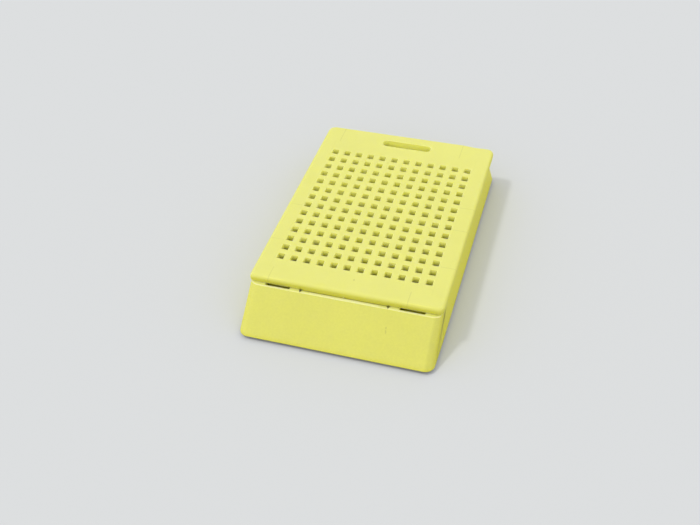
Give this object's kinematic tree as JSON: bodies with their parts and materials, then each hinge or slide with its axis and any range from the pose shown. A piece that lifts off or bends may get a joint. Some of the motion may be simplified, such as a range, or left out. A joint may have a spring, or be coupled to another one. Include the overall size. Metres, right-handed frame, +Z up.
{
  "type": "tissue cassette",
  "caption": "Shallow moulded specimen box: perforated tray with a sloping writing face, and a hinged perforated lid that snaps shut.",
  "frame": {"origin": "on the resting surface, midway between the foot of the writing face and the rear edge of the lid, on the plane of symmetry", "axes": "+X to the right seen from the writing face, +Y from the writing face towards the latch, +Z up"},
  "size_m": [0.0284, 0.0426, 0.0063],
  "materials": {
    "base_plastic": "pale lemon yellow moulded acetal, satin, with a fine etched grain on the writing face",
    "lid_plastic": "pale lemon yellow moulded acetal, satin, with faint witness lines of the mould inserts"
  },
  "bodies": {
    "base": {"cassette_base": "base_plastic"},
    "lid": {"cassette_lid": "lid_plastic"}
  },
  "joints": [
    {"name": "lid_hinge", "type": "hinge", "parent": "base", "child": "lid", "pos_m": [0, -0.01495, 0.0055], "axis": [1, 0, 0], "range_deg": [0, 95]}
  ]
}
